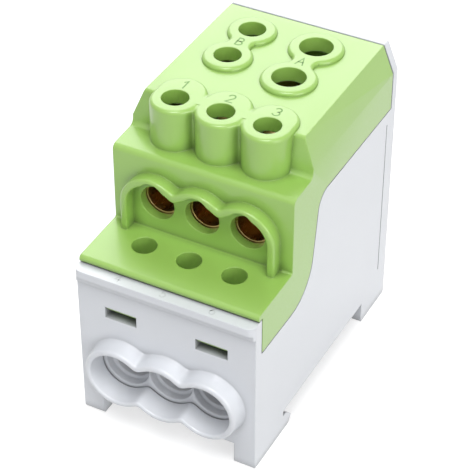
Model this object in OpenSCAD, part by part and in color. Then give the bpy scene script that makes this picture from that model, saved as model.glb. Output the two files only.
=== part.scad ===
// Single-pole main branch terminal for a 35 mm top-hat rail: a two-part moulded
// housing round one stepped, drilled brass block with ten clamping screws.
// Right side is +X, the cable side 4 to 6 faces -Y, and the feet stand on z = 0.

/* [Housing] */
// Width of the housing
width = 39; // [38:0.5:44]
// Depth from the front wall's face to the rear wall's face
depth = 61.8; // [61:0.2:66]
// Height of the flat top above the feet
height = 64.6; // [64:0.2:70]
// Thickness of the side walls and of the cover's shell
wall = 2; // [1.6:0.1:2.2]
// Thickness of the front wall
front_wall = 2.4; // [2:0.1:2.6]
// Thickness of the rear wall
rear_wall = 1.9; // [1.6:0.1:2.4]
// Thickness of the housing's floor
floor_t = 1.9; // [1.5:0.1:2.2]
// Width of the bevel along both upper edges
bevel_w = 2.4; // [1:0.1:3]
// Height of the bevel along both upper edges
bevel_h = 6.1; // [3:0.1:7]
// Gap between the two mouldings along their seam
seam_gap = 0.25; // [0.1:0.05:0.4]

/* [Rail foot] */
// Height of the feet, which is the depth of the rail recess
foot_h = 5.1; // [4.6:0.1:5.6]
// Width of each foot
foot_w = 4.6; // [3.5:0.1:5]
// Front wall's face to the wall that the rail's front edge butts against
rail_y = 12.5; // [11.5:0.1:13.5]
// Width of the top-hat rail
rail_w = 35; // [35:0.1:35.2]
// Height of the slot that takes the rail's flange
rail_slot = 1.3; // [1.2:0.05:1.5]
// How far the fixed hook reaches under the rail
hook_reach = 3.7; // [2.5:0.1:4]
// Length of the rear feet
rear_foot_l = 11.7; // [10:0.1:12]
// Width of the sliding rail latch
latch_w = 16; // [12:0.5:18]
// How far the latch reaches under the rail
latch_reach = 1.2; // [1:0.1:1.6]
// Travel of the latch
latch_travel = 2.5; // [2:0.1:3]
// Clearance round the latch in its guides
latch_gap = 0.2; // [0.15:0.05:0.3]

/* [Front ledge] */
// Height of the ledge's top
ledge_z = 37.2; // [36:0.1:39]
// Height of the ledge's front edge
ledge_h = 3.3; // [2:0.1:4]
// How far the ledge stands out of the front wall
ledge_out = 1.4; // [0.8:0.1:2]
// Radius of the ledge's front corners
ledge_r = 1.5; // [0.8:0.1:2]
// Width of each snap window under the ledge
window_w = 7; // [6:0.1:8]
// Height of each snap window
window_h = 2.6; // [2.2:0.1:3]
// Height of the windows' lower edge
window_z = 26.4; // [25:0.1:27]
// Side distance of the windows' centres
window_x = 10; // [9:0.1:11]

/* [Conductor rows] */
// Distance between neighbouring conductors in the rows 1 to 3 and 4 to 6
pitch = 9.85; // [9.6:0.05:10.4]
// Height of the lower row's bores, 4 to 6
low_z = 14.2; // [14:0.1:14.8]
// Height of the upper row's bores, 1 to 3
up_z = 45.5; // [45.2:0.1:46]
// Bore radius of the lower row
low_r = 3.2; // [2.6:0.1:3.4]
// Bore radius of the upper row
up_r = 3.4; // [2.8:0.1:3.6]
// Outer radius of the lower collar's lobes at the rim
collar_r = 7; // [6.8:0.1:7.3]
// Wall of the lower collar at the rim
collar_wall = 1.3; // [1:0.1:1.6]
// How far the lower collar stands out of the front wall
collar_out = 3.6; // [2.5:0.1:4.5]
// Distance from the front wall's face to the block's lower bores
low_bore_y = 6.5; // [6:0.1:7]
// Outer radius of the hood's arches
hood_r = 6.95; // [6.6:0.05:7.2]
// Wall of the hood
hood_wall = 1.5; // [1.2:0.1:1.8]
// How far the hood stands out of the riser
hood_out = 2.8; // [2:0.1:3.4]
// Radius of the upper row's holes in the riser
entry_r = 3.75; // [3.6:0.05:4]

/* [Steps of the cover] */
// Front edge of the lower shelf
shelf_y = 1.2; // [0.8:0.1:1.8]
// Height of the lower shelf
shelf_z = 38.7; // [38.4:0.1:40]
// Distance to the riser between the two shelves
riser_y = 15.1; // [15:0.1:15.8]
// Height of the upper shelf
deck_z = 56.4; // [56:0.1:57.5]
// Distance to the foot of the upper face
face_y = 22.8; // [22.5:0.1:23.4]
// How far the upper face leans back
face_lean = 1; // [0.4:0.1:1.4]
// Height of the seam in front
seam_front_z = 28.6; // [28:0.1:30]
// Height of the seam at the back
seam_rear_z = 50; // [49:0.1:51]

/* [Screw access] */
// Distance to the lower row's screws
low_screw_y = 9.7; // [9.4:0.1:10]
// Distance to the upper row's screws
up_screw_y = 22.85; // [22.6:0.05:23]
// Radius of the lower row's screwdriver holes
low_hole_r = 2.53; // [2.2:0.05:2.8]
// Radius of the upper row's screwdriver holes
up_hole_r = 2.73; // [2.3:0.05:2.8]
// Outer radius of the upper row's tubes
tube_r = 4.95; // [4.6:0.05:5.2]
// Height of the raised collars and tubes above the flat top
rim_h = 0.9; // [0.4:0.1:1.4]
// Radius of the rounded rims
rim_round = 0.8; // [0.3:0.1:0.9]
// How far the upper row's collars run on behind their holes
collar_back = 2.5; // [1:0.1:4]
// Radius of the hollows beside the necks of the 8-shaped collars
waist_r = 1.8; // [1.4:0.1:2.4]

/* [Main conductors] */
// Side position of conductor A
a_x = 6.1; // [5.8:0.1:6.6]
// Distance to A's front screw
a_front_y = 39.3; // [39:0.1:40]
// Distance between A's two screws
a_pitch = 12.2; // [11.8:0.1:12.6]
// Bore radius of A
a_r = 4.6; // [3.8:0.1:4.8]
// Radius of A's screwdriver holes
a_hole_r = 3.45; // [2.6:0.05:3.6]
// Radius of A's raised collars
a_collar_r = 5.7; // [5.2:0.1:6]
// Side position of conductor B
b_x = -8.1; // [-8.6:0.1:-7.6]
// Distance to B's front screw
b_front_y = 40.8; // [40:0.1:41]
// Distance between B's two screws
b_pitch = 10.6; // [10.2:0.1:11.2]
// Bore radius of B
b_r = 3.6; // [3:0.1:3.8]
// Radius of B's screwdriver holes
b_hole_r = 2.8; // [2.3:0.05:2.9]
// Radius of B's raised collars
b_collar_r = 5.1; // [4.6:0.1:5.4]
// Height of the bores A and B
main_z = 45.5; // [45:0.1:46]
// How far the rear entry collars stand out
rear_collar_out = 1.6; // [1:0.1:2]

/* [Brass block] */
// Width of the block
block_w = 30; // [29.5:0.1:31]
// Height of the lower arm's top
low_arm_z = 23.5; // [22:0.1:24.5]
// Underside of the upper arm
up_arm_z = 38.5; // [37.5:0.1:39]
// Top of the upper arm under the upper row's screws
up_arm_top = 53.6; // [53:0.1:54]
// Top of the upper arm under the screws of A and B
main_arm_top = 57.5; // [56.5:0.1:58]
// Depth of the block's web behind the riser
web_t = 5.7; // [5:0.1:7]
// Free space between the block and the mouldings
block_gap = 0.2; // [0.1:0.05:0.3]

/* [Clamping screws] */
// Radius of the screws of both rows and of B
screw_r = 3; // [2.9:0.05:3.1]
// Radius of A's screws
a_screw_r = 4; // [3.9:0.05:4.1]
// Length of every clamping screw
screw_l = 10; // [9:0.5:11]
// Radial clearance of a screw in its thread
thread_gap = 0.05; // [0.02:0.01:0.08]
// Height of a backed-out screw's tip above its bore
tip_gap = 0.2; // [0.1:0.05:0.4]

/* [Hidden] */
$fn = 48;
eps = 0.01;

// Everything below is measured from the front wall's face and then moved back,
// so that the origin lies under the middle of the whole outline.
y_middle = (depth + rear_collar_out - collar_out) / 2;

// The outline that the heights and places above are set for. A taller housing lifts
// its upper half, a deeper one moves the main screws back, and a wider one takes a
// wider block.
set_height = 64.6;
set_depth = 61.8;
set_width = 39;
rise = height - set_height;
run = depth - set_depth;
shelf_top = shelf_z + rise;
deck_top = deck_z + rise;
ledge_top = ledge_z + rise;
seam_back = seam_rear_z + rise;
up_axis = up_z + rise;
main_axis = main_z + rise;
arm_under = up_arm_z + rise;
row_arm_top = up_arm_top + rise;
pair_arm_top = main_arm_top + rise;
a_y = a_front_y + run;
b_y = b_front_y + run;
block_x = block_w * width / set_width;
rows = [-pitch, 0, pitch];
light_grey = "#dfe2e5";
leaf_green = "#a9d96c";
brass = "#b58a3c";
steel = "#b9bcc2";

// ---- outlines ----
function unit(v) = v / norm(v);

// The arc that rounds corner b between its neighbours a and c.
function corner_arc(a, b, c, r) = r <= 0 ? [b] :
    let (
        u = unit(a - b),
        v = unit(c - b),
        half = acos(u * v) / 2,
        o = b + unit(u + v) * r / sin(half),
        s = b + u * r / tan(half) - o,
        turn = (u.x * v.y - u.y * v.x > 0 ? -1 : 1) * (180 - 2 * half),
        n = max(2, ceil(abs(turn) / 12))
    )
    [for (i = [0 : n]) let (g = turn * i / n)
        o + [s.x * cos(g) - s.y * sin(g), s.x * sin(g) + s.y * cos(g)]];

// An outline from corners [x, y, radius].
function rounded(p) = let (n = len(p))
    [for (i = [0 : n - 1]) each corner_arc(
        [p[(i + n - 1) % n].x, p[(i + n - 1) % n].y],
        [p[i].x, p[i].y],
        [p[(i + 1) % n].x, p[(i + 1) % n].y],
        p[i].z)];

// The seam on the side walls: low in front, an S up to the rear part.
seam_foot_y = riser_y + 7.9;
seam_lean = 3.6;
function seam(up) = [
    [front_wall + up, seam_front_z + up, 0.4],
    [seam_foot_y - up, seam_front_z + up, 9],
    [seam_foot_y + seam_lean - up, seam_back + up, 4]
];

// Extrude a Y-Z outline across the width w.
module across(w, p) {
    translate([-w / 2, 0, 0])
        rotate([90, 0, 90])
            linear_extrude(w)
                polygon(p);
}

// A cylinder along +Y from y to y2.
module bore_y(x, y, y2, z, r) {
    translate([x, y, z])
        rotate([-90, 0, 0])
            cylinder(r = r, h = y2 - y);
}

// A body turned about a line along Y: profile points are [radius, y].
module turned_y(x, z, p) {
    translate([x, 0, z])
        rotate([-90, 0, 0])
            rotate_extrude()
                polygon(p);
}

// The X-Z section of the upper housing, inset by a wall.
module section(inset, y0, y1) {
    half = width / 2 - inset;
    translate([0, y1, 0])
        rotate([90, 0, 0])
            linear_extrude(y1 - y0)
                polygon([
                    [-half, -eps], [half, -eps],
                    [half, height - bevel_h - inset * 0.2],
                    [half - bevel_w + inset * 0.1, height - inset],
                    [-half + bevel_w - inset * 0.1, height - inset],
                    [-half, height - bevel_h - inset * 0.2]
                ]);
}

// ---- lower housing ----
front_foot_l = rail_y + 1.3;
rear_y = depth - rear_wall;

module base_outline() {
    across(width, rounded([
        [0, foot_h - eps, 0],
        [0, ledge_top, 0.6],
        [front_wall, ledge_top, 0.3],
        each seam(0),
        [rear_y, seam_back, 0],
        [rear_y, height, 0.3],
        [depth, height, 0.5],
        [depth, foot_h - eps, 0]
    ]));
}

module ledge() {
    translate([0, 0, ledge_top - ledge_h])
        linear_extrude(ledge_h)
            polygon(rounded([
                [-width / 2, front_wall, 0],
                [-width / 2, -ledge_out, ledge_r],
                [width / 2, -ledge_out, ledge_r],
                [width / 2, front_wall, 0]
            ]));
}

// The fixed hook at the back of each front foot, with the slot for the rail's flange.
module front_foot(side) {
    slot_z = foot_h - rail_slot;
    translate([side * (width - foot_w) / 2, 0, 0])
        across(foot_w, rounded([
            [0, 0, 0.5],
            [0, foot_h, 0],
            [rail_y, foot_h, 0],
            [rail_y, slot_z, 0],
            [front_foot_l, slot_z, 0.2],
            [rail_y + hook_reach, slot_z - 2.1, 0.6],
            [rail_y + hook_reach - 1.3, 0, 1]
        ]));
}

module rear_foot(side) {
    translate([side * (width - foot_w) / 2, 0, 0])
        across(foot_w, rounded([
            [depth - rear_foot_l, 0, 0.3],
            [depth - rear_foot_l, foot_h, 0],
            [depth, foot_h, 0],
            [depth, 0, 0.6]
        ]));
}

// Lobes of the lower collar, tapering to a rounded rim.
module low_collar() {
    for (x = rows)
        turned_y(x, low_z, rounded([
            [0, 0, 0],
            [0, -collar_out, 0],
            [collar_r, -collar_out, 0.6],
            [collar_r + 0.6, eps, 0],
            [collar_r + 0.6, front_wall, 0],
            [0, front_wall, 0]
        ]));
}

// Moulded guide behind the front wall that leads to the brass.
module low_guide() {
    for (x = rows)
        bore_y(x, front_wall - 1, low_bore_y - block_gap, low_z, collar_r - 0.5);
}

// Stepped mouth of each lower entry.
module low_mouth() {
    inner = collar_r - collar_wall;
    for (x = rows)
        turned_y(x, low_z, [
            [0, -collar_out - 1],
            [inner + 0.5, -collar_out - 1],
            [inner + 0.5, -collar_out],
            [inner + 0.15, -collar_out + 0.15],
            [inner, -collar_out + 0.5],
            [inner - 0.2, 1.4],
            [inner - 0.8, 1.7],
            [inner - 0.9, 3.2],
            [inner - 1.5, 3.5],
            [low_r + 0.8, 5],
            [low_r + 0.5, 5.2],
            [low_r + 0.5, low_bore_y + 1],
            [0, low_bore_y + 1]
        ]);
}

// Round collars of A and B on the rear wall.
module rear_collars() {
    for (c = [[a_x, a_r], [b_x, b_r]])
        turned_y(c[0], main_axis, rounded([
            [0, rear_y - 2, 0],
            [c[1] + 2, rear_y - 2, 0],
            [c[1] + 2, depth + rear_collar_out, 0.5],
            [0, depth + rear_collar_out, 0]
        ]));
}

module rear_mouths() {
    for (c = [[a_x, a_r], [b_x, b_r]])
        turned_y(c[0], main_axis, [
            [0, rear_y - 3],
            [c[1] + 0.4, rear_y - 3],
            [c[1] + 0.4, depth - 0.4],
            [c[1] + 1.1, depth + rear_collar_out],
            [c[1] + 1.1, depth + rear_collar_out + 1],
            [0, depth + rear_collar_out + 1]
        ]);
}

// Ribs that carry the brass block's upper arm.
module block_ribs() {
    rib_t = 2;
    for (side = [-1, 1], y = [30, 46])
        translate([side * (width / 2 - wall / 2 - 1.75) - 2.25, y, foot_h + 1])
            cube([4.5, rib_t, arm_under - block_gap - foot_h - 1]);
}

// Guides of the sliding latch under the floor, and the stop of its spring.
guide_t = 1.6;
guide_z = 0.8;
lip_z = 2.6;
module latch_guides() {
    for (side = [-1, 1]) mirror([side < 0 ? 1 : 0, 0, 0]) {
        translate([latch_w / 2 + latch_gap, depth - rear_foot_l + 0.6, guide_z])
            cube([guide_t, rear_foot_l - 1.8, foot_h + 0.5 - guide_z]);
        translate([latch_w / 2 + latch_gap - guide_t, depth - rear_foot_l + 0.6, guide_z])
            cube([guide_t + 0.2, rear_foot_l - 1.8, lip_z - guide_z]);
    }
    translate([-1.7, spring_stop_y, 1.2])
        cube([3.4, stop_t, foot_h + 0.5 - 1.2]);
}

module base_housing() color(light_grey) translate([0, -y_middle, 0]) {
    difference() {
        union() {
            difference() {
                intersection() {
                    base_outline();
                    section(0, -1, depth + 1);
                }
                translate([-width / 2 + wall, front_wall, foot_h + floor_t])
                    cube([width - 2 * wall, rear_y - front_wall, height]);
            }
            ledge();
            low_collar();
            low_guide();
            rear_collars();
            block_ribs();
            latch_guides();
            for (side = [-1, 1]) {
                front_foot(side);
                rear_foot(side);
            }
        }
        low_mouth();
        rear_mouths();
        // snap windows
        for (side = [-1, 1])
            translate([side * window_x - window_w / 2, -1, window_z])
                cube([window_w, front_wall + 2, window_h]);
        // shallow line down each side in front of the rear edge
        for (side = [-1, 1])
            translate([side * width / 2 - 0.2, depth - 3.9, 9])
                cube([0.4, 0.3, seam_back - 12]);
    }
}

// ---- cover ----
module cover_outline() {
    across(width, rounded([
        [shelf_y, ledge_top + seam_gap, 0.2],
        [shelf_y, shelf_top, 0.8],
        [riser_y, shelf_top + 0.2, 0.5],
        [riser_y, deck_top - 0.2, 1.2],
        [face_y, deck_top + 0.1, 1.2],
        [face_y + face_lean, height, 0.8],
        [rear_y - seam_gap, height, 0.3],
        [rear_y - seam_gap, seam_back + seam_gap, 0],
        seam(seam_gap)[2],
        seam(seam_gap)[1],
        seam(seam_gap)[0],
        [front_wall + seam_gap, ledge_top + seam_gap, 0]
    ]));
}

// Hollow under the shell.
module cover_hollow() {
    across(width - 2 * wall, rounded([
        [front_wall - 3, 20, 0],
        [front_wall - 3, shelf_top - wall - 0.8, 0],
        [front_wall + seam_gap, shelf_top - wall - 0.8, 0],
        [front_wall + seam_gap, shelf_top - wall, 0.5],
        [riser_y + wall, shelf_top - wall, 0],
        [riser_y + wall, deck_top - wall, 0.8],
        [face_y + wall, deck_top - wall, 0],
        [face_y + face_lean + wall, height - wall - 0.3, 0.6],
        [rear_y - seam_gap - wall, height - wall - 0.3, 0.6],
        [rear_y - seam_gap - wall, seam_back + skirt_l + 0.2, 0],
        [depth, seam_back + skirt_l + 0.2, 0],
        [depth, 20, 0]
    ]));
}

// One arch of the hood: half a ring about the entry's axis, with a rounded rim.
hood_in = hood_r - hood_wall;
module hood_ring(x) {
    turned_y(x, up_axis, rounded([
        [hood_in, riser_y + 0.5, 0],
        [hood_in, riser_y - hood_out, 0.3],
        [hood_r, riser_y - hood_out, 0.7],
        [hood_r, riser_y + 0.5, 0]
    ]));
}

module hood() {
    for (i = [0 : 2])
        intersection() {
            hood_ring(rows[i]);
            translate([
                i == 0 ? -width / 2 : rows[i] - pitch / 2,
                riser_y - hood_out - 1,
                up_axis
            ])
                cube([i == 1 ? pitch : width / 2 + pitch / 2 - pitch, hood_out + 2, hood_r + 1]);
        }
    for (side = [-1, 1]) mirror([side < 0 ? 1 : 0, 0, 0])
        translate([pitch, 0, shelf_top - 0.5])
            linear_extrude(up_axis - shelf_top + 0.5)
                polygon(rounded([
                    [hood_in, riser_y + 0.5, 0],
                    [hood_in, riser_y - hood_out, 0.3],
                    [hood_r, riser_y - hood_out, 0.7],
                    [hood_r, riser_y + 0.5, 0]
                ]));
}

// A round boss that stands on the top with a rounded rim.
module boss(x, y, z, r) {
    translate([x, y, 0])
        rotate_extrude()
            polygon(rounded([
                [0, z, 0], [r, z, 0],
                [r, height + rim_h, rim_round],
                [0, height + rim_h, 0]
            ]));
}

// Two collars joined by a waisted neck, like an 8, with the same rounded rim.
waist_bite = 0.06;
module eight(x, y, step, r) {
    root = height - 0.5;
    top = height + rim_h;
    side = sqrt(pow(r + waist_r, 2) - pow(step / 2, 2)) - waist_bite;
    half = side * (r - rim_round) / (r + waist_r);
    boss(x, y, root, r);
    boss(x, y + step, root, r);
    difference() {
        translate([x - half, y, root])
            cube([2 * half, step, top - root]);
        for (dx = [-side, side])
            translate([x + dx, y + step / 2, 0])
                rotate_extrude()
                    polygon([
                        [0, root - 1],
                        [waist_r, root - 1],
                        [waist_r, top - rim_round],
                        each corner_arc(
                            [waist_r, top - rim_round - 1],
                            [waist_r, top],
                            [waist_r + 2, top],
                            rim_round
                        ),
                        [waist_r + rim_round, top + 1],
                        [0, top + 1]
                    ]);
    }
}

// The raised collar of an upper screwdriver tube runs on behind the hole.
module long_collar(x) {
    root = height - 0.5;
    top = height + rim_h;
    boss(x, up_screw_y + collar_back, root, tube_r - eps);
    translate([x, up_screw_y + collar_back, 0])
        rotate([90, 0, 0])
            linear_extrude(collar_back)
                polygon(rounded([
                    [-tube_r, root, 0], [-tube_r, top, rim_round],
                    [tube_r, top, rim_round], [tube_r, root, 0]
                ]));
}

// Tubes under the lower shelf that guide the screwdriver.
guide_tube_z = 29.5;
module guide_tubes() {
    for (x = rows)
        translate([x, low_screw_y, guide_tube_z])
            cylinder(r = low_hole_r + 1.4, h = shelf_top - guide_tube_z - 1);
}

// A ribbon along the seam, from lo to hi above it.
module seam_band(w, lo, hi) {
    y0 = front_wall + 1.2;
    y1 = rear_y - 4;
    across(w, rounded([
        [y0, seam_front_z + lo, 0],
        [seam_foot_y - lo, seam_front_z + lo, 9],
        [seam_foot_y + seam_lean - lo, seam_back + lo, 4],
        [y1, seam_back + lo, 0],
        [y1, seam_back + hi, 0],
        [seam_foot_y + seam_lean - hi, seam_back + hi, 4],
        [seam_foot_y - hi, seam_front_z + hi, 9],
        [y0, seam_front_z + hi, 0]
    ]));
}

// Locating skirt that reaches down inside the lower housing's side walls.
skirt_gap = 0.15;
skirt_t = 1.2;
skirt_l = 2;
module skirt() {
    inner = width - 2 * wall;
    difference() {
        union() {
            seam_band(inner - 2 * skirt_gap, -skirt_l, 1.2);
            seam_band(inner + 0.2, 2 * seam_gap, 1.5);
        }
        translate([-inner / 2 + skirt_gap + skirt_t, 0, 0])
            cube([inner - 2 * skirt_gap - 2 * skirt_t, depth, height]);
    }
}

// Snap tongues that catch in the front wall's windows.
module tongues() {
    for (side = [-1, 1])
        translate([side * window_x, 0, 0])
            across(window_w - 0.4, [
                [front_wall + seam_gap, shelf_top - 1],
                [front_wall + seam_gap, window_z + window_h - 0.1],
                [0.5, window_z + window_h - 0.1],
                [0.5, window_z + window_h - 0.7],
                [front_wall + seam_gap, window_z + 0.2],
                [front_wall + seam_gap, window_z - 1],
                [front_wall + seam_gap + 1.5, window_z - 1],
                [front_wall + seam_gap + 1.5, shelf_top - 1]
            ]);
}

module cover() color(leaf_green) translate([0, -y_middle, 0]) {
    difference() {
        union() {
            difference() {
                intersection() {
                    cover_outline();
                    section(0, -1, depth + 1);
                }
                intersection() {
                    cover_hollow();
                    section(wall, -3, depth + 1);
                }
                // inside of the upper row's tubes
                for (x = rows)
                    translate([x, up_screw_y, deck_top - wall - 1])
                        cylinder(r = tube_r - 1.3, h = height - wall - 0.3 - deck_top + wall + 1);
            }
            hood();
            difference() {
                for (x = rows) boss(x, up_screw_y, deck_top - 0.5, tube_r);
                for (x = rows)
                    translate([x, up_screw_y, deck_top - wall - 1])
                        cylinder(r = tube_r - 1.3, h = height - wall - 0.3 - deck_top + wall + 1);
                translate([-width / 2, face_y + wall, deck_top - 2])
                    cube([width, 10, height - wall - 0.3 - deck_top + 2]);
            }
            for (x = rows) long_collar(x);
            eight(a_x, a_y, a_pitch, a_collar_r);
            eight(b_x, b_y, b_pitch, b_collar_r);
            guide_tubes();
            skirt();
            tongues();
        }
        for (x = rows) {
            translate([x, low_screw_y, guide_tube_z - 1])
                cylinder(r = low_hole_r, h = shelf_top);
            translate([x, up_screw_y, height - wall - 1])
                cylinder(r = up_hole_r, h = wall + 5);
            bore_y(x, riser_y - 1, riser_y + wall + 1, up_axis, entry_r);
        }
        for (i = [0, 1]) {
            translate([a_x, a_y + i * a_pitch, height - wall - 1])
                cylinder(r = a_hole_r, h = wall + 5);
            translate([b_x, b_y + i * b_pitch, height - wall - 1])
                cylinder(r = b_hole_r, h = wall + 5);
        }
    }
}

// ---- brass block ----
block_y0 = low_bore_y;
block_y1 = riser_y + wall + block_gap;
block_rear = rear_y - seam_gap - wall - block_gap - 1.5;
a_bore_start = a_y - a_screw_r - 0.3;
b_bore_start = b_y - screw_r - 0.3;
row_bore_end = a_bore_start - 3;
low_bore_end = block_y1 + 2;
// each drilled row ends on planes of its own, a little apart
end_step = 0.4;

module terminal_block() color(brass) translate([0, -y_middle, 0]) {
    difference() {
        across(block_x, rounded([
            [block_y0, foot_h + floor_t, 0.4],
            [block_y0, low_arm_z, 0.4],
            [block_y1, low_arm_z, 0.8],
            [block_y1, row_arm_top, 0.4],
            [face_y + face_lean + wall + 2, row_arm_top, 0.4],
            [face_y + face_lean + wall + 2, pair_arm_top, 0.4],
            [block_rear, pair_arm_top, 0.4],
            [block_rear, arm_under, 0.4],
            [block_y1 + web_t, arm_under, 0.8],
            [block_y1 + web_t, foot_h + floor_t, 0.4]
        ]));
        for (i = [0 : 2]) {
            bore_y(rows[i], block_y0 - 1, low_bore_end - i * end_step, low_z, low_r);
            bore_y(rows[i], block_y1 - 1, row_bore_end - i * end_step, up_axis, up_r);
            translate([rows[i], low_screw_y, low_z])
                cylinder(r = screw_r + thread_gap, h = 20);
            translate([rows[i], up_screw_y, up_axis])
                cylinder(r = screw_r + thread_gap, h = 20);
        }
        bore_y(a_x, a_bore_start, depth, main_axis, a_r);
        bore_y(b_x, b_bore_start, depth, main_axis, b_r);
        for (i = [0, 1]) {
            translate([a_x, a_y + i * a_pitch, main_axis])
                cylinder(r = a_screw_r + thread_gap, h = 20);
            translate([b_x, b_y + i * b_pitch, main_axis])
                cylinder(r = screw_r + thread_gap, h = 20);
        }
    }
}

// ---- clamping screws ----
// A grub screw with its tip at the origin; sides = 6 gives a hexagon socket, 0 a slot.
module clamp_screw(r, socket) {
    difference() {
        rotate_extrude()
            polygon([
                [0, 0], [r - 1.2, 0], [r, 1], [r, screw_l - 0.6],
                [r - 0.6, screw_l], [0, screw_l]
            ]);
        if (socket)
            translate([0, 0, screw_l - 4])
                cylinder(r = r * 0.577, h = 5, $fn = 6);
        else
            translate([-r - 1, -0.5, screw_l - 1.8])
                cube([2 * r + 2, 1, 3]);
    }
}

module placed_screw(x, y, bore_z, bore_r, r, socket) {
    color(steel)
        translate([x, y - y_middle, bore_z + bore_r + tip_gap])
            clamp_screw(r, socket);
}

// ---- rail latch ----
spring_stop_y = depth - 3.3;
stop_t = 1.2;
latch_tip_y = rail_y + rail_w + 0.1 - latch_reach;
latch_z0 = 0.5;
latch_z1 = foot_h - 0.4;
nose_top = foot_h - rail_slot - 0.1;
window_y0 = depth - rear_foot_l - 0.1;
module rail_latch() color(light_grey) translate([0, -y_middle, 0]) {
    narrow = latch_w - 2 * guide_t - 2 * latch_gap;
    difference() {
        union() {
            // upper plate between the guides
            translate([-latch_w / 2, depth - rear_foot_l + 0.2, lip_z + latch_gap])
                cube([latch_w, rear_foot_l + rear_collar_out - 0.2, latch_z1 - lip_z - latch_gap]);
            // lower plate with the wedge nose
            across(narrow, rounded([
                [latch_tip_y, nose_top, 0.2],
                [latch_tip_y, nose_top - 1.1, 0.5],
                [latch_tip_y + 2, latch_z0, 0.5],
                [depth + rear_collar_out, latch_z0, 0.4],
                [depth + rear_collar_out, nose_top, 0]
            ]));
        }
        // pocket of the spring, and the slot for a screwdriver behind it
        translate([-2.1, window_y0, -1])
            cube([4.2, spring_stop_y + stop_t + 0.3 - window_y0, foot_h + 2]);
        translate([-3, depth + rear_collar_out - 2.4, -1])
            cube([6, 1.2, foot_h + 2]);
    }
}

spring_r = 1.3;
spring_wire = 0.22;
spring_turns = 7;
module latch_spring() {
    y0 = window_y0 + spring_wire;
    y1 = spring_stop_y - spring_wire;
    steps = 12 * spring_turns;
    sides = 5;
    pts = [for (i = [0 : steps], k = [0 : sides - 1]) let (
            a = 360 * spring_turns * i / steps,
            b = 360 * k / sides,
            rr = spring_r + spring_wire * cos(b)
        ) [rr * cos(a), y0 + (y1 - y0) * i / steps + spring_wire * sin(b), 2.75 + rr * sin(a)]];
    skin = [for (i = [0 : steps - 1], k = [0 : sides - 1]) let (
            a = i * sides + k,
            b = i * sides + (k + 1) % sides
        ) [a, b, b + sides, a + sides]];
    color(steel)
        translate([0, -y_middle, 0])
            polyhedron(pts, concat(skin,
                [[for (k = [sides - 1 : -1 : 0]) k]],
                [[for (k = [0 : sides - 1]) steps * sides + k]]));
}

base_housing();
cover();
terminal_block();
placed_screw(a_x, a_y, main_axis, a_r, a_screw_r, true);  // clamp_screw_a_front
placed_screw(a_x, a_y + a_pitch, main_axis, a_r, a_screw_r, true);  // clamp_screw_a_rear
placed_screw(b_x, b_y, main_axis, b_r, screw_r, true);  // clamp_screw_b_front
placed_screw(b_x, b_y + b_pitch, main_axis, b_r, screw_r, true);  // clamp_screw_b_rear
placed_screw(rows[0], up_screw_y, up_axis, up_r, screw_r, false);  // clamp_screw_1
placed_screw(rows[1], up_screw_y, up_axis, up_r, screw_r, false);  // clamp_screw_2
placed_screw(rows[2], up_screw_y, up_axis, up_r, screw_r, false);  // clamp_screw_3
placed_screw(rows[0], low_screw_y, low_z, low_r, screw_r, false);  // clamp_screw_4
placed_screw(rows[1], low_screw_y, low_z, low_r, screw_r, false);  // clamp_screw_5
placed_screw(rows[2], low_screw_y, low_z, low_r, screw_r, false);  // clamp_screw_6
rail_latch();
latch_spring();
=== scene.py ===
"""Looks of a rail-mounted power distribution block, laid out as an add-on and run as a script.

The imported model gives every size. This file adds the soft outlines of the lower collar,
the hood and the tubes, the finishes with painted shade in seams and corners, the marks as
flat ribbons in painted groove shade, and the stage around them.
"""

import math

import bmesh
import bpy
import numpy as np
from bpy.props import FloatProperty, FloatVectorProperty, PointerProperty
from mathutils import Matrix, Vector


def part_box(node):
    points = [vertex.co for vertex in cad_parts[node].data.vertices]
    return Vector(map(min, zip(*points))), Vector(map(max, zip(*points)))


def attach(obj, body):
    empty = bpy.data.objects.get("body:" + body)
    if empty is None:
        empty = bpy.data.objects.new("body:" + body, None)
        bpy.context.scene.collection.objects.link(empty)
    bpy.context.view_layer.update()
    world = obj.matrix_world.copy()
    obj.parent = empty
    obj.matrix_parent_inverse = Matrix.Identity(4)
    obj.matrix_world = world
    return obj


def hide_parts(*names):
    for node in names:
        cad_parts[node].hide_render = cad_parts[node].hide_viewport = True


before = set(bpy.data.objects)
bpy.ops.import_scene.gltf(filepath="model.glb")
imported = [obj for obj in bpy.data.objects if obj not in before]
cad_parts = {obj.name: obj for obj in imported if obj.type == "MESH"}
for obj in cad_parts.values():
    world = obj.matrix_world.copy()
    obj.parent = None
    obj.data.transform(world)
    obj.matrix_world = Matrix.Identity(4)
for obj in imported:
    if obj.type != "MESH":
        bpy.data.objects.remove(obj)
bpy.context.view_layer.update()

bl_info = {
    "name": "Power distribution block",
    "version": (1, 0, 0),
    "blender": (4, 5, 0),
    "location": "View3D > Sidebar > Block",
    "description": "Finishes, marks and stage of a rail-mounted power distribution block",
    "category": "Object",
}

MM = 0.001

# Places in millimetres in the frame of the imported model.
PITCH = 9.85
FRONT_Y = -29.9
RISER_Y = FRONT_Y + 15.1
TUBE_Y = FRONT_Y + 22.85
REAR_GAP_Y = FRONT_Y + 59.9
LOW_Z = 14.2
LEDGE_Z = 37.2
UP_Z = 45.5
DECK_Z = 56.4
TOP_Z = 64.6
# Half length of a cutter that runs across the whole width.
CUT_HALF = 22
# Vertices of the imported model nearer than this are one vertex.
MERGE = 0.0005 * MM
# Edges that turn by more than this stay sharp.
CREASE = math.radians(28)
# Height of a mark's ribbon above the face that it lies on.
MARK_LIFT = 0.01 * MM


# ---- sizes and colours -----------------------------------------------------------------

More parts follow.
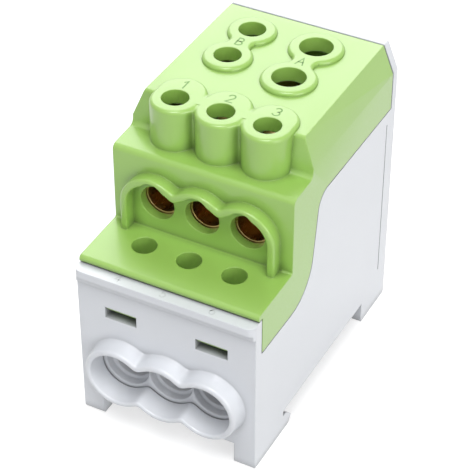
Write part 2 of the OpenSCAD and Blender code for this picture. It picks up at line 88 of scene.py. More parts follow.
class BlockSizes(bpy.types.PropertyGroup):
    """Sizes of the details that this file adds."""

    edge_round: FloatProperty(
        name="Edge rounding", description="Radius of the moulded edges",
        default=0.35 * MM, min=0, unit="LENGTH", precision=5)
    mark_height: FloatProperty(
        name="Mark height", description="Height of the digits and letters",
        default=2.5 * MM, min=0, unit="LENGTH", precision=5)
    mark_stroke: FloatProperty(
        name="Mark stroke", description="Width of an engraved stroke",
        default=0.3 * MM, min=0, unit="LENGTH", precision=5)


class BlockColours(bpy.types.PropertyGroup):
    """Colours of the mouldings and metals."""

    housing: FloatVectorProperty(
        name="Lower housing", description="Light grey moulding",
        subtype="COLOR", default=(0.75, 0.77, 0.81), min=0, max=1)
    cover: FloatVectorProperty(
        name="Cover", description="Green moulding",
        subtype="COLOR", default=(0.33, 0.56, 0.11), min=0, max=1)
    brass: FloatVectorProperty(
        name="Brass", description="Machined terminal block",
        subtype="COLOR", default=(0.80, 0.56, 0.24), min=0, max=1)
    steel: FloatVectorProperty(
        name="Steel", description="Plated screws and spring",
        subtype="COLOR", default=(0.56, 0.57, 0.58), min=0, max=1)
    # the two mark colours are painted groove shade: darker than the moulding, on flat ribbons
    # in place of engraved strokes
    mark: FloatVectorProperty(
        name="Marks", description="Shaded floor of the engraved strokes",
        subtype="COLOR", default=(0.12, 0.29, 0.03), min=0, max=1)
    ledge_mark: FloatVectorProperty(
        name="Ledge marks", description="Shaded floor of the strokes on the grey ledge",
        subtype="COLOR", default=(0.62, 0.64, 0.67), min=0, max=1)
    floor: FloatVectorProperty(
        name="Floor", description="Pale floor",
        subtype="COLOR", default=(0.55, 0.55, 0.55), min=0, max=1)


# ---- meshes ----------------------------------------------------------------------------

def add_mesh(name, points, faces, smooth=True):
    """A mesh object at the origin from an array of points and an array of faces."""
    mesh = bpy.data.meshes.new(name)
    mesh.from_pydata(points.reshape(-1, 3).tolist(), [], faces.tolist())
    mesh.polygons.foreach_set("use_smooth", np.full(len(mesh.polygons), smooth))
    mesh.update()
    piece = bpy.data.objects.new(name, mesh)
    bpy.context.scene.collection.objects.link(piece)
    return piece


def grid_faces(rows, columns, close_rows=False, close_columns=False):
    """Four-cornered faces of a grid of points, with either direction joined on itself."""
    r = np.arange(rows if close_rows else rows - 1)[:, None]
    c = np.arange(columns if close_columns else columns - 1)[None, :]
    r2, c2 = (r + 1) % rows, (c + 1) % columns
    return np.stack(
        [r * columns + c, r * columns + c2, r2 * columns + c2, r2 * columns + c], -1
    ).reshape(-1, 4)


def solid_sweep(name, rings):
    """A closed body from a stack of rings, rings[i, j] = point j of section i: the sections
    are joined side by side, and the first and last are closed by one flat face each."""
    count, size = rings.shape[:2]
    mesh = bpy.data.meshes.new(name)
    sides = grid_faces(count, size, close_columns=True).tolist()
    caps = [list(range(size))[::-1], list(range((count - 1) * size, count * size))]
    mesh.from_pydata(rings.reshape(-1, 3).tolist(), [], sides + caps)
    mesh.update()
    piece = bpy.data.objects.new(name, mesh)
    bpy.context.scene.collection.objects.link(piece)
    return point_out(piece)


def ring_sweep(name, rings):
    """A closed body like a ring: the last section is joined to the first again."""
    piece = add_mesh(name, rings, grid_faces(*rings.shape[:2], True, True))
    return point_out(piece)


def point_out(piece):
    """Turns the faces of a closed body outwards."""
    work = bmesh.new()
    work.from_mesh(piece.data)
    bmesh.ops.recalc_face_normals(work, faces=work.faces)
    if work.calc_volume(signed=True) < 0:
        bmesh.ops.reverse_faces(work, faces=work.faces)
    work.to_mesh(piece.data)
    work.free()
    return piece


def reworked(name, node, steps):
    """A merged copy of a node with bodies cut away or joined on, its creases kept sharp."""
    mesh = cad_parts[node].data.copy()
    mesh.name = name
    mesh.materials.clear()
    work = bmesh.new()
    work.from_mesh(mesh)
    bmesh.ops.remove_doubles(work, verts=work.verts, dist=MERGE)
    work.to_mesh(mesh)
    work.free()
    if "custom_normal" in mesh.attributes:
        mesh.attributes.remove(mesh.attributes["custom_normal"])
    piece = bpy.data.objects.new(name, mesh)
    bpy.context.scene.collection.objects.link(piece)
    for kind, tool in steps:
        change = piece.modifiers.new(kind, "BOOLEAN")
        change.operation = kind
        change.solver = "EXACT"
        change.object = tool
    bpy.context.view_layer.update()
    ready = piece.evaluated_get(bpy.context.evaluated_depsgraph_get())
    result = bpy.data.meshes.new_from_object(ready)
    result.name = name
    piece.modifiers.clear()
    piece.data = result
    bpy.data.meshes.remove(mesh)
    for kind, tool in steps:
        bpy.data.objects.remove(tool)
    result.polygons.foreach_set("use_smooth", np.full(len(result.polygons), True))
    result.set_sharp_from_angle(angle=CREASE)
    return piece


# ---- lobed outlines --------------------------------------------------------------------

def blended_distance(x, z, soft):
    """Distance to the nearest conductor axis, blended smoothly where two are near:
    minus soft times the log of the sum of exp(-distance / soft)."""
    far = np.stack([np.hypot(x - c, z) for c in (-PITCH, 0.0, PITCH)])
    low = far.min(0)
    return low - soft * np.log(np.exp(-(far - low) / soft).sum(0))


def reach(x0, z0, dx, dz, radius, soft):
    """How far a ray runs from (x0, z0) until the blended distance equals the radius."""
    low, high = np.zeros_like(x0), np.full_like(x0, 2.5 * np.max(radius))
    for _ in range(40):
        mid = (low + high) / 2
        inside = blended_distance(x0 + dx * mid, z0 + dz * mid, soft) < radius
        low, high = np.where(inside, mid, low), np.where(inside, high, mid)
    return (low + high) / 2


def upper_lobes(radius, soft, along=72, cap=16):
    """Upper half of the three-lobed outline, from left to right: rays straight up from
    the line through the axes, and a fan of rays round each outer axis."""
    a = np.radians(np.linspace(180, 90, cap, endpoint=False))
    x = np.linspace(-PITCH, PITCH, along)
    b = a[::-1]
    x0 = np.concatenate([np.full(cap, -PITCH), x, np.full(cap, PITCH)])
    dx = np.concatenate([np.cos(a), np.zeros(along), -np.cos(b)])
    dz = np.concatenate([np.sin(a), np.ones(along), np.sin(b)])
    r = np.broadcast_to(np.asarray(radius, float), x0.shape)
    t = reach(x0, np.zeros_like(x0), dx, dz, r, soft)
    return np.stack([x0 + dx * t, dz * t], 1)


def full_lobes(radius, soft):
    """The whole outline: the upper half, then the lower half back from right to left."""
    up = upper_lobes(radius, soft)
    return np.vstack([up, (up * (1, -1))[::-1][1:-1]])


def corner(cy, cr, radius, start, end, steps=6):
    """Profile points (radius, y) on a rounded corner about (cr, cy)."""
    a = np.radians(np.linspace(start, end, steps))
    return [(cr + radius * np.cos(t), cy + radius * np.sin(t)) for t in a]


def prism_y(name, outline, y0, y1, x=0.0, z=0.0):
    """A closed prism along Y on an X-Z outline."""
    ring = np.stack([outline[:, 0] + x, np.zeros(len(outline)), outline[:, 1] + z], 1)
    return solid_sweep(name, np.stack([ring + (0, y0, 0), ring + (0, y1, 0)]) * MM)


def prism_x(name, outline, half):
    """A closed prism across the whole width on a Y-Z outline."""
    outline = np.asarray(outline, float)
    ring = np.stack([np.zeros(len(outline)), outline[:, 0], outline[:, 1]], 1)
    return solid_sweep(name, np.stack([ring - (half, 0, 0), ring + (half, 0, 0)]) * MM)


# ---- shared effects --------------------------------------------------------------------

def new_group(name, inputs, outputs):
    """An empty shader node group with named inputs and outputs."""
    group = bpy.data.node_groups.new(name, "ShaderNodeTree")
    for label, kind, value in inputs:
        socket = group.interface.new_socket(label, in_out="INPUT", socket_type=kind)
        if value is not None:
            socket.default_value = value
    for label, kind in outputs:
        group.interface.new_socket(label, in_out="OUTPUT", socket_type=kind)
    return group, group.nodes.new("NodeGroupInput"), group.nodes.new("NodeGroupOutput")


def grain_with_painted_crease_shade():
    """Fine spark-eroded grain, faint flow clouds, painted shade that darkens the seams and
    inner corners, and a height for the bump."""
    group, inp, out = new_group(
        "grain_with_painted_crease_shade",
        [("Colour", "NodeSocketColor", (0.5, 0.5, 0.5, 1)),
         ("Grain Scale", "NodeSocketFloat", 2600.0),
         ("Cloud Scale", "NodeSocketFloat", 45.0),
         ("Cloud Depth", "NodeSocketFloat", 0.05)],
        [("Colour", "NodeSocketColor"), ("Roughness", "NodeSocketFloat"),
         ("Height", "NodeSocketFloat")])
    n, link = group.nodes, group.links.new
    place = n.new("ShaderNodeTexCoord")
    grain = n.new("ShaderNodeTexNoise")
    grain.inputs["Detail"].default_value = 3
    link(place.outputs["Object"], grain.inputs["Vector"])
    link(inp.outputs["Grain Scale"], grain.inputs["Scale"])
    cloud = n.new("ShaderNodeTexNoise")
    cloud.inputs["Detail"].default_value = 4
    link(place.outputs["Object"], cloud.inputs["Vector"])
    link(inp.outputs["Cloud Scale"], cloud.inputs["Scale"])
    shade = n.new("ShaderNodeMapRange")
    shade.inputs["To Min"].default_value = 1.0
    link(cloud.outputs["Fac"], shade.inputs["Value"])
    deep = n.new("ShaderNodeMath")
    deep.operation = "SUBTRACT"
    deep.inputs[0].default_value = 1.0
    link(inp.outputs["Cloud Depth"], deep.inputs[1])
    link(deep.outputs[0], shade.inputs["To Max"])
    # painted shade: an occlusion node darkens the colour down to 0.22 in seams, holes and inner
    # corners
    crease_occlusion = n.new("ShaderNodeAmbientOcclusion")
    crease_occlusion.samples = 6
    crease_occlusion.inputs["Distance"].default_value = 3.0 * MM
    painted_shade_factor = n.new("ShaderNodeMapRange")
    painted_shade_factor.inputs["From Min"].default_value = 0.15
    painted_shade_factor.inputs["From Max"].default_value = 0.8
    painted_shade_factor.inputs["To Min"].default_value = 0.22
    link(crease_occlusion.outputs["AO"], painted_shade_factor.inputs["Value"])
    both = n.new("ShaderNodeMath")
    both.operation = "MULTIPLY"
    link(shade.outputs["Result"], both.inputs[0])
    link(painted_shade_factor.outputs["Result"], both.inputs[1])
    tint = n.new("ShaderNodeVectorMath")
    tint.operation = "SCALE"
    link(inp.outputs["Colour"], tint.inputs[0])
    link(both.outputs[0], tint.inputs["Scale"])
    rough = n.new("ShaderNodeMapRange")
    rough.inputs["From Min"].default_value = 0.3
    rough.inputs["From Max"].default_value = 0.7
    rough.inputs["To Min"].default_value = 0.36
    rough.inputs["To Max"].default_value = 0.46
    link(grain.outputs["Fac"], rough.inputs["Value"])
    link(tint.outputs[0], out.inputs["Colour"])
    link(rough.outputs["Result"], out.inputs["Roughness"])
    link(grain.outputs["Fac"], out.inputs["Height"])
    return group


def machined_metal():
    """Fine turning and drawing lines with a few dull patches, and a height for the bump."""
    group, inp, out = new_group(
        "machined_metal",
        [("Colour", "NodeSocketColor", (0.5, 0.5, 0.5, 1)),
         ("Line Scale", "NodeSocketVector", (400.0, 400.0, 9000.0)),
         ("Rough Min", "NodeSocketFloat", 0.22),
         ("Rough Max", "NodeSocketFloat", 0.4)],
        [("Colour", "NodeSocketColor"), ("Roughness", "NodeSocketFloat"),
         ("Height", "NodeSocketFloat")])
    n, link = group.nodes, group.links.new
    place = n.new("ShaderNodeTexCoord")
    stretch = n.new("ShaderNodeVectorMath")
    stretch.operation = "MULTIPLY"
    link(place.outputs["Object"], stretch.inputs[0])
    link(inp.outputs["Line Scale"], stretch.inputs[1])
    lines = n.new("ShaderNodeTexNoise")
    lines.inputs["Scale"].default_value = 1.0
    lines.inputs["Detail"].default_value = 3
    link(stretch.outputs[0], lines.inputs["Vector"])
    dull = n.new("ShaderNodeTexNoise")
    dull.inputs["Scale"].default_value = 160.0
    dull.inputs["Detail"].default_value = 4
    link(place.outputs["Object"], dull.inputs["Vector"])
    both = n.new("ShaderNodeMath")
    both.operation = "MULTIPLY"
    link(lines.outputs["Fac"], both.inputs[0])
    link(dull.outputs["Fac"], both.inputs[1])
    rough = n.new("ShaderNodeMapRange")
    rough.inputs["From Min"].default_value = 0.1
    rough.inputs["From Max"].default_value = 0.4
    link(both.outputs[0], rough.inputs["Value"])
    link(inp.outputs["Rough Min"], rough.inputs["To Min"])
    link(inp.outputs["Rough Max"], rough.inputs["To Max"])
    shade = n.new("ShaderNodeMapRange")
    shade.inputs["From Min"].default_value = 0.3
    shade.inputs["From Max"].default_value = 0.7
    shade.inputs["To Min"].default_value = 0.82
    shade.inputs["To Max"].default_value = 1.0
    link(dull.outputs["Fac"], shade.inputs["Value"])
    tint = n.new("ShaderNodeVectorMath")
    tint.operation = "SCALE"
    link(inp.outputs["Colour"], tint.inputs[0])
    link(shade.outputs["Result"], tint.inputs["Scale"])
    link(tint.outputs[0], out.inputs["Colour"])
    link(rough.outputs["Result"], out.inputs["Roughness"])
    link(lines.outputs["Fac"], out.inputs["Height"])
    return group


def group_named(name, maker):
    """The node group of that name, made once."""
    return bpy.data.node_groups.get(name) or maker()


def finish_material(name, maker, colour, edge, bump, settings, inputs=()):
    """A material: a shared effect for colour, roughness and height, over rounded edges."""
    if name in bpy.data.materials:
        return bpy.data.materials[name]
    material = bpy.data.materials.new(name)
    material.use_nodes = True
    material.diffuse_color = (*colour, 1)
    n, link = material.node_tree.nodes, material.node_tree.links.new
    shader = n["Principled BSDF"]
    effect = n.new("ShaderNodeGroup")
    effect.node_tree = group_named(maker.__name__, maker)
    effect.inputs["Colour"].default_value = (*colour, 1)
    for label, value in inputs:
        effect.inputs[label].default_value = value
    link(effect.outputs["Colour"], shader.inputs["Base Color"])
    link(effect.outputs["Roughness"], shader.inputs["Roughness"])
    height = n.new("ShaderNodeBump")
    height.inputs["Strength"].default_value = bump
    height.inputs["Distance"].default_value = 0.02 * MM
    link(effect.outputs["Height"], height.inputs["Height"])
    if edge > 0:
        rounded = n.new("ShaderNodeBevel")
        rounded.samples = 8
        rounded.inputs["Radius"].default_value = edge
        link(rounded.outputs["Normal"], height.inputs["Normal"])
    link(height.outputs["Normal"], shader.inputs["Normal"])
    for label, value in settings:
        shader.inputs[label].default_value = value
    return material


PLASTIC = (("IOR", 1.55), ("Coat Weight", 0.7), ("Coat Roughness", 0.2),
           ("Subsurface Weight", 0.1), ("Subsurface Scale", 0.5 * MM),
           ("Subsurface Radius", (1.0, 1.0, 1.0)))
METAL = (("Metallic", 1.0),)


def colours():
    """The scene's colour settings."""
    return bpy.context.scene.block_colours


def sizes():
    """The scene's size settings."""
    return bpy.context.scene.block_sizes


def housing_plastic():
    """Light grey moulding."""
    return finish_material("moulded_light_grey", grain_with_painted_crease_shade, tuple(colours().housing),
                           sizes().edge_round, 0.25, PLASTIC)


def cover_plastic():
    """Green moulding."""
    return finish_material("moulded_green", grain_with_painted_crease_shade, tuple(colours().cover),
                           sizes().edge_round, 0.25, PLASTIC)


def brass_metal():
    """Machined brass with slightly broken edges."""
    return finish_material("machined_brass", machined_metal, tuple(colours().brass),
                           0.15 * MM, 0.4, METAL)


def steel_metal():
    """Plated steel of the screws and the spring."""
    return finish_material("plated_steel", machined_metal, tuple(colours().steel),
                           0.12 * MM, 0.3, METAL,
                           (("Line Scale", (900.0, 900.0, 900.0)),
                            ("Rough Min", 0.25), ("Rough Max", 0.45)))


def dress(node, material):
    """Gives a node of the frame its finish."""
    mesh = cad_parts[node].data
    mesh.materials.clear()
    mesh.materials.append(material)


# ---- marks: flat ribbons in painted groove shade ---------------------------------------

def arc(cx, cy, rx, ry, start, end, steps=14):
    """Points on an ellipse's arc, angles in degrees counted from +X towards +Y."""
    a = np.radians(np.linspace(start, end, steps))
    return np.stack([cx + rx * np.cos(a), cy + ry * np.sin(a)], 1)


def line(*points):
    """Straight strokes through the points."""
    return np.array(points, float)


# Each mark is a list of strokes in a box that is 0.6 wide and 1 high.
MARKS = {
    "1": [line((0.1, 0.78), (0.32, 1.0), (0.32, 0.0))],
    "2": [np.vstack([arc(0.3, 0.73, 0.25, 0.27, 170, -35), line((0.04, 0.0), (0.58, 0.0))])],
    "3": [np.vstack([arc(0.28, 0.75, 0.24, 0.25, 150, -80),
                     arc(0.28, 0.27, 0.28, 0.27, 75, -150)])],
    "4": [line((0.44, 0.0), (0.44, 1.0), (0.02, 0.28), (0.6, 0.28))],
    "5": [np.vstack([line((0.52, 1.0), (0.12, 1.0), (0.08, 0.55)),
                     arc(0.28, 0.32, 0.28, 0.32, 120, -150)])],
    "6": [np.vstack([line((0.45, 1.0)), arc(0.3, 0.31, 0.26, 0.31, 150, 510, 26)])],
    "A": [line((0.0, 0.0), (0.3, 1.0), (0.6, 0.0)), line((0.11, 0.34), (0.49, 0.34))],
    "B": [np.vstack([line((0.06, 0.5), (0.06, 0.0)), line((0.3, 0.0)),
                     arc(0.3, 0.26, 0.26, 0.26, -90, 90), line((0.06, 0.52)),
                     line((0.06, 1.0)), arc(0.28, 0.76, 0.23, 0.24, 90, -90)])],
}


def stroke_ribbon(path, width, z):
    """A flat ribbon: each point of the path moves half the width to either side of the
    path's direction there, and the ends reach half a width further out."""
    step = np.diff(path, axis=0)
    path = path[np.r_[True, np.hypot(*step.T) > 1e-6]]
    step = np.diff(path, axis=0)
    step /= np.hypot(*step.T)[:, None]
    path = path.copy()
    path[0] -= step[0] * width / 2
    path[-1] += step[-1] * width / 2
    before, after = np.vstack([step[:1], step]), np.vstack([step, step[-1:]])
    mean = before + after
    mean /= np.maximum(np.hypot(*mean.T), 0.3)[:, None]
    side = np.stack([-mean[:, 1], mean[:, 0]], 1)
    half = width / 2 / np.maximum((side * np.stack([-after[:, 1], after[:, 0]], 1)).sum(1), 0.5)
    left, right = path + side * half[:, None], path - side * half[:, None]
    flat = np.stack([right, left], 1)
    points = np.concatenate([flat, np.full(flat.shape[:2] + (1,), z)], 2)
    return points, grid_faces(len(path), 2)


def engraved(name, text, centre, z, height, width):
    """One mark as flat ribbons that lie on a level face, upright seen from the branch side; its
    darker colour is painted groove shade.
    """
    points, faces, total = [], [], 0
    for path in MARKS[text]:
        flat = (path - (0.3, 0.5)) * height + np.array(centre)
        p, f = stroke_ribbon(flat, width, z)
        points.append(p.reshape(-1, 3))
        faces.append(f + total)
        total += len(points[-1])
    return add_mesh(name, np.vstack(points), np.vstack(faces), smooth=False)


# ---- the object ------------------------------------------------------------------------

SCREWS = ("a_front", "a_rear", "b_front", "b_rear", "1", "2", "3", "4", "5", "6")


def collar_ring():
    """The lower collar: a profile of radius and depth carried round the blended outline of
    the three entries, so both its rim and the cusps between the lobes are rounded."""
    rim, outer, inner = FRONT_Y - 3.6, 7.0, 5.72
    # the flared outside from within the wall, the rounded rim, and the inside back again
    profile = [(7.72, FRONT_Y + 1.2), (7.66, FRONT_Y + 0.4), (7.55, FRONT_Y),
               (7.35, FRONT_Y - 0.5), (7.2, FRONT_Y - 1.4)]
    profile += corner(rim + 0.65, outer - 0.65, 0.65, 0, -90)
    profile += corner(rim + 0.45, inner + 0.45, 0.45, -90, -180)
    profile += [(inner - 0.1, FRONT_Y - 1.0), (inner - 0.2, FRONT_Y + 1.2)]
    rings = []
    for radius, y in profile:
        share = np.clip((radius - inner) / (outer - inner), 0, 1)
        o = full_lobes(radius, 0.95 - 0.45 * share)
        rings.append(np.stack([o[:, 0], np.full(len(o), y), o[:, 1] + LOW_Z], 1))
    return ring_sweep("collar_tool", np.array(rings) * MM)


def hood_band():
    """The hood: a rounded wall section carried up the left leg, over the three blended
    arches and down the right leg. Each crown is scooped out at its front edge."""
    front, outer, inner = RISER_Y - 2.8, 6.95, 5.45
    scoop_half, scoop_depth, leg = 2.4, 0.7, 7.1
    profile = [(outer, RISER_Y + 0.6, 0), (outer, RISER_Y, 0), (outer, front + 1.6, 0)]
    profile += [(r, y, 0) for r, y in corner(front + 0.5, outer - 0.5, 0.5, 0, -90)]
    profile += [(r, y, 1) for r, y in corner(front + 0.2, inner + 0.2, 0.2, -90, -180)]
    profile += [(inner, front + 1.0, 0.75), (inner, front + 1.8, 0.3),
                (inner, front + 2.4, 0), (inner, RISER_Y + 0.6, 0)]
    plain = upper_lobes(outer, 0.5)
    offset = np.abs(plain[:, :1] - np.array([-PITCH, 0, PITCH])).min(1)
    scoop = np.clip(1 - (offset / scoop_half) ** 2, 0, 1) ** 0.75
    sections = []
    for radius, y, share in profile:
        deep = 0.95 - 0.45 * np.clip((radius - inner) / (outer - inner), 0, 1)
        up = upper_lobes(radius + scoop_depth * share * scoop, deep)
        legs = np.linspace(-leg, 0, 8, endpoint=False)[:, None]
        left = np.hstack([np.full_like(legs, up[0, 0]), legs])
        right = np.hstack([np.full_like(legs, up[-1, 0]), legs[::-1]])
        line_up = np.vstack([left, up, right])
        sections.append(
            np.stack([line_up[:, 0], np.full(len(line_up), y), line_up[:, 1] + UP_Z], 1))
    return solid_sweep("hood_tool", np.array(sections).transpose(1, 0, 2) * MM)


def tube_rows(top, cut):
    """The three screwdriver tubes with the collars behind them as one body on their blended
    outline: flat behind up to the top, then run on backwards, with a rounded rim. The
    cutter that first clears the place is a little smaller and has no rim."""
    radius, soft, back, rim = 5.0 - cut, 0.42, 2.5, 0.8
    along, cap, flat = 140, 20, 1.2
    step = TOP_Z - 0.4 + cut
    levels = [(DECK_Z - 0.3 + cut, 0.0, False), (step, 0.0, False), (step, 0.0, True)]
    if cut:
        levels.append((top + 1, 0.0, True))
    else:
        turn = np.radians(np.linspace(0, 90, 9))
        levels += [(top - rim + rim * np.sin(t), rim * (1 - np.cos(t)), True) for t in turn]
    rings = []
    for z, inset, run in levels:
        half = upper_lobes(radius - inset, soft, along, cap)
        rear = half[:, 1] + back if run else np.full(len(half), flat - cut)
        height = np.full(len(half), z)
        rings.append(np.vstack([
            np.stack([half[:, 0], TUBE_Y - half[:, 1], height], 1),
            np.stack([half[:, 0], TUBE_Y + rear, height], 1)[::-1]]))
    return solid_sweep("tube_tool", np.array(rings) * MM)


def hole_cutter(x):
    """A stepped round cutter: the wide inside of a tube, and its screwdriver hole above."""
    count, wide, narrow, shoulder = 96, 3.66, 2.735, TOP_Z - 2.33
    a = np.linspace(0, 2 * np.pi, count, endpoint=False)
    levels = ((DECK_Z - 3.04, wide), (shoulder, wide), (shoulder, narrow), (TOP_Z + 3, narrow))
    rings = [np.stack([x + r * np.cos(a), TUBE_Y + r * np.sin(a), np.full(count, z)], 1)
             for z, r in levels]
    return solid_sweep("hole_tool", np.array(rings) * MM)


class BLOCK_OT_housing(bpy.types.Operator):
    """Build the lower housing with its lobed collar and tapered ledge, in light grey"""

    bl_idname = "block.housing"
    bl_label = "Lower housing"

    def execute(self, context):
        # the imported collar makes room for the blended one, and the ledge's front tapers
        wide = full_lobes(8.6, 0.5)
        mouth = full_lobes(5.78, 0.95)
        piece = reworked("lower_housing", "base_housing", [
            ("DIFFERENCE", prism_y("front_tool", wide, FRONT_Y - 6, FRONT_Y - 0.002, z=LOW_Z)),
            ("DIFFERENCE", prism_y("mouth_tool", mouth, FRONT_Y - 5, FRONT_Y + 1.45, z=LOW_Z)),
            ("UNION", collar_ring()),
            ("DIFFERENCE", prism_x("ledge_tool", [
                (FRONT_Y - 3, 35.4), (FRONT_Y - 1.3, 35.4), (FRONT_Y - 0.75, 35.15),
                (FRONT_Y - 0.45, 33.0), (FRONT_Y - 3, 33.0)], CUT_HALF)),
        ])
        piece.data.materials.append(housing_plastic())
        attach(piece, "housing")
        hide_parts("base_housing")
        dress("rail_latch", housing_plastic())
        return {"FINISHED"}


class BLOCK_OT_cover(bpy.types.Operator):
    """Build the stepped cover with its scooped hood, in green"""

    bl_idname = "block.cover"
    bl_label = "Cover"

    def execute(self, context):
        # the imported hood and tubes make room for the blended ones
        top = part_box("cover")[1].z / MM
        zone = np.array([(-17.2, 38.95), (17.2, 38.95), (17.2, 53), (-17.2, 53)])
        gap = [(REAR_GAP_Y - 0.4, 50.0), (REAR_GAP_Y + 1, 50.0),
               (REAR_GAP_Y + 1, 70.0), (REAR_GAP_Y - 0.4, 70.0)]
        piece = reworked("stepped_cover", "cover", [
            ("DIFFERENCE", prism_y("zone_tool", zone, RISER_Y - 4, RISER_Y - 0.002)),
            ("UNION", hood_band()),
            ("DIFFERENCE", tube_rows(top, 0.03)),
            ("UNION", tube_rows(top, 0.0)),
            ("DIFFERENCE", hole_cutter(-PITCH)),
            ("DIFFERENCE", hole_cutter(0.0)),
            ("DIFFERENCE", hole_cutter(PITCH)),
            ("DIFFERENCE", prism_x("gap_tool", gap, CUT_HALF)),
        ])
        piece.data.materials.append(cover_plastic())
        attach(piece, "housing")
        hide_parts("cover")
        return {"FINISHED"}


class BLOCK_OT_metal(bpy.types.Operator):
    """Give the terminal block, the screws and the spring their metals"""

    bl_idname = "block.metal"
    bl_label = "Brass and screws"

    def execute(self, context):
        dress("terminal_block", brass_metal())
        for screw in SCREWS:
            dress("clamp_screw_" + screw, steel_metal())
        dress("latch_spring", steel_metal())
        return {"FINISHED"}


class BLOCK_OT_marks(bpy.types.Operator):
    """Add the digits and letters beside the screw holes, flat ribbons in painted groove shade
    """

    bl_idname = "block.marks"
    bl_label = "Marks"

    def execute(self, context):
        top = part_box("cover")[1].z
        height, stroke = sizes().mark_height, sizes().mark_stroke
        # painted groove shade: the marks' darker colours stand in for the shade inside engraved
        # strokes
        green = (tuple(colours().mark), top, height, stroke, "green_plastic")
        grey = (tuple(colours().ledge_mark), LEDGE_Z * MM, 0.76 * height, 0.8 * stroke,
                "light_grey_plastic")
        places = (
            ("1", -10.2, 27.6, green), ("2", -0.3, 27.5, green), ("3", 9.55, 27.6, green),
            ("4", -10.3, 0.4, grey), ("5", -0.4, 0.35, grey), ("6", 10.2, 0.35, grey),
            ("A", 5.8, 45.4, green), ("B", -8.1, 46.1, green))
        for text, x, y, (colour, level, tall, wide, slot) in places:
            piece = engraved("mark_" + text, text, (x * MM, (FRONT_Y + y) * MM),
                             level + MARK_LIFT, tall, wide)
            piece.data.materials.append(finish_material(
                "mark_groove_shade_on_" + slot, grain_with_painted_crease_shade, colour, 0, 0.1, (("IOR", 1.49),)))
            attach(piece, "housing")
        return {"FINISHED"}


# ---- the stage -------------------------------------------------------------------------

# Name, place and target in metres, diameter in metres and power in watts of each lamp.
LAMPS = (("lamp_top", (0.1, -0.35, 0.9), (0, 0, 0.04), 0.5, 5.0),
         ("lamp_back", (-0.42, 0.75, 0.72), (0, 0, 0.05), 1.0, 6.2),
         ("lamp_right", (0.75, -0.3, 0.35), (0, 0, 0.03), 0.5, 2.6))
WORLD_FILL = 0.36
FLOOR_GLOW = 0.62
FLOOR_HALF = 3.0
# The camera: eye and target in millimetres, roll in degrees, lens in millimetres.
EYE = (134.64, -257.95, 261.29)
TARGET = (0.56, -2.3, 32.73)
ROLL = 0.13
LENS = 140.488


def area_lamp(name, place, target, size, power):
    """A round soft lamp that looks at its target."""
    lamp = bpy.data.lights.new(name, "AREA")
    lamp.shape = "DISK"
    lamp.size = size
    lamp.energy = power
    holder = bpy.data.objects.new(name, lamp)
    bpy.context.scene.collection.objects.link(holder)
    holder.location = place
    holder.rotation_euler = (Vector(target) - Vector(place)).to_track_quat("-Z", "Y").to_euler()
    return holder


def white_for_camera(tree):
    """A mask that is 1 for what the camera, gloss and glass see directly."""
    n, link = tree.nodes, tree.links.new
    path = n.new("ShaderNodeLightPath")
    seen = n.new("ShaderNodeMath")
    seen.operation = "MAXIMUM"
    link(path.outputs["Is Camera Ray"], seen.inputs[0])
    link(path.outputs["Is Glossy Ray"], seen.inputs[1])
    also = n.new("ShaderNodeMath")
    also.operation = "MAXIMUM"
    link(seen.outputs[0], also.inputs[0])
    link(path.outputs["Is Transmission Ray"], also.inputs[1])
    return also.outputs[0]


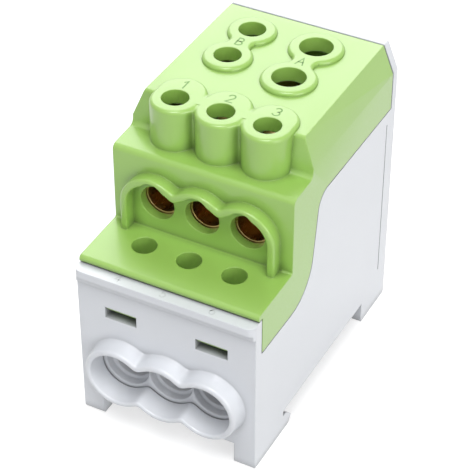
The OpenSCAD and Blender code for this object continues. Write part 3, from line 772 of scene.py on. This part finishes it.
class BLOCK_OT_stage(bpy.types.Operator):
    """Set up the pale floor, the soft light and the camera"""

    bl_idname = "block.stage"
    bl_label = "Stage"

    def execute(self, context):
        scene = context.scene
        corners = FLOOR_HALF * np.array([[-1, -1, 0], [1, -1, 0], [1, 1, 0], [-1, 1, 0]])
        floor = add_mesh("floor", corners, np.array([[0, 1, 2, 3]]), smooth=False)
        material = bpy.data.materials.new("floor_white")
        material.use_nodes = True
        n, link = material.node_tree.nodes, material.node_tree.links.new
        shader = n["Principled BSDF"]
        shader.inputs["Base Color"].default_value = (*colours().floor, 1)
        shader.inputs["Roughness"].default_value = 0.9
        shader.inputs["Specular IOR Level"].default_value = 0.0
        glow = n.new("ShaderNodeEmission")
        glow.inputs["Strength"].default_value = FLOOR_GLOW
        both = n.new("ShaderNodeAddShader")
        link(shader.outputs[0], both.inputs[0])
        link(glow.outputs[0], both.inputs[1])
        mix = n.new("ShaderNodeMixShader")
        link(white_for_camera(material.node_tree), mix.inputs[0])
        link(shader.outputs[0], mix.inputs[1])
        link(both.outputs[0], mix.inputs[2])
        link(mix.outputs[0], n["Material Output"].inputs["Surface"])
        floor.data.materials.append(material)

        world = bpy.data.worlds.new("studio")
        world.use_nodes = True
        scene.world = world
        n, link = world.node_tree.nodes, world.node_tree.links.new
        back = n["Background"]
        back.inputs["Color"].default_value = (0.97, 0.985, 1.0, 1)
        back.inputs["Strength"].default_value = WORLD_FILL
        white = n.new("ShaderNodeBackground")
        white.inputs["Color"].default_value = (1, 1, 1, 1)
        white.inputs["Strength"].default_value = 1.0
        mix = n.new("ShaderNodeMixShader")
        link(white_for_camera(world.node_tree), mix.inputs[0])
        link(back.outputs[0], mix.inputs[1])
        link(white.outputs[0], mix.inputs[2])
        link(mix.outputs[0], n["World Output"].inputs["Surface"])

        for lamp in LAMPS:
            area_lamp(*lamp)

        camera = bpy.data.cameras.new("camera")
        camera.sensor_width = 36.0
        camera.lens = LENS
        camera.clip_start, camera.clip_end = 0.01, 10.0
        holder = bpy.data.objects.new("camera", camera)
        scene.collection.objects.link(holder)
        eye, target = Vector(EYE) * MM, Vector(TARGET) * MM
        forward = (target - eye).normalized()
        right = forward.cross(Vector((0, 0, 1))).normalized()
        up = right.cross(forward)
        turn = math.radians(ROLL)
        across = right * math.cos(turn) + up * math.sin(turn)
        over = up * math.cos(turn) - right * math.sin(turn)
        holder.matrix_world = Matrix((
            (across.x, over.x, -forward.x, eye.x), (across.y, over.y, -forward.y, eye.y),
            (across.z, over.z, -forward.z, eye.z), (0, 0, 0, 1)))
        scene.camera = holder
        scene.view_settings.view_transform = "Standard"
        return {"FINISHED"}


class BLOCK_PT_panel(bpy.types.Panel):
    """Sizes, colours and steps of the block"""

    bl_idname = "BLOCK_PT_panel"
    bl_label = "Power distribution block"
    bl_space_type = "VIEW_3D"
    bl_region_type = "UI"
    bl_category = "Block"

    def draw(self, context):
        for group in (context.scene.block_sizes, context.scene.block_colours):
            box = self.layout.box()
            for name in group.bl_rna.properties.keys():
                if name not in ("rna_type", "name"):
                    box.prop(group, name)
        for step in STEPS:
            self.layout.operator(step.bl_idname)


STEPS = (BLOCK_OT_housing, BLOCK_OT_cover, BLOCK_OT_metal, BLOCK_OT_marks, BLOCK_OT_stage)
CLASSES = (BlockSizes, BlockColours, *STEPS, BLOCK_PT_panel)


def register():
    """Adds the classes and their settings to the scene type."""
    for cls in CLASSES:
        bpy.utils.register_class(cls)
    bpy.types.Scene.block_sizes = PointerProperty(type=BlockSizes)
    bpy.types.Scene.block_colours = PointerProperty(type=BlockColours)


def unregister():
    """Takes away what register added."""
    del bpy.types.Scene.block_colours
    del bpy.types.Scene.block_sizes
    for cls in reversed(CLASSES):
        bpy.utils.unregister_class(cls)


def main():
    """Builds the dressed block and its stage."""
    register()
    bpy.ops.block.housing()
    bpy.ops.block.cover()
    bpy.ops.block.metal()
    bpy.ops.block.marks()
    bpy.ops.block.stage()


if __name__ == "__main__":
    main()
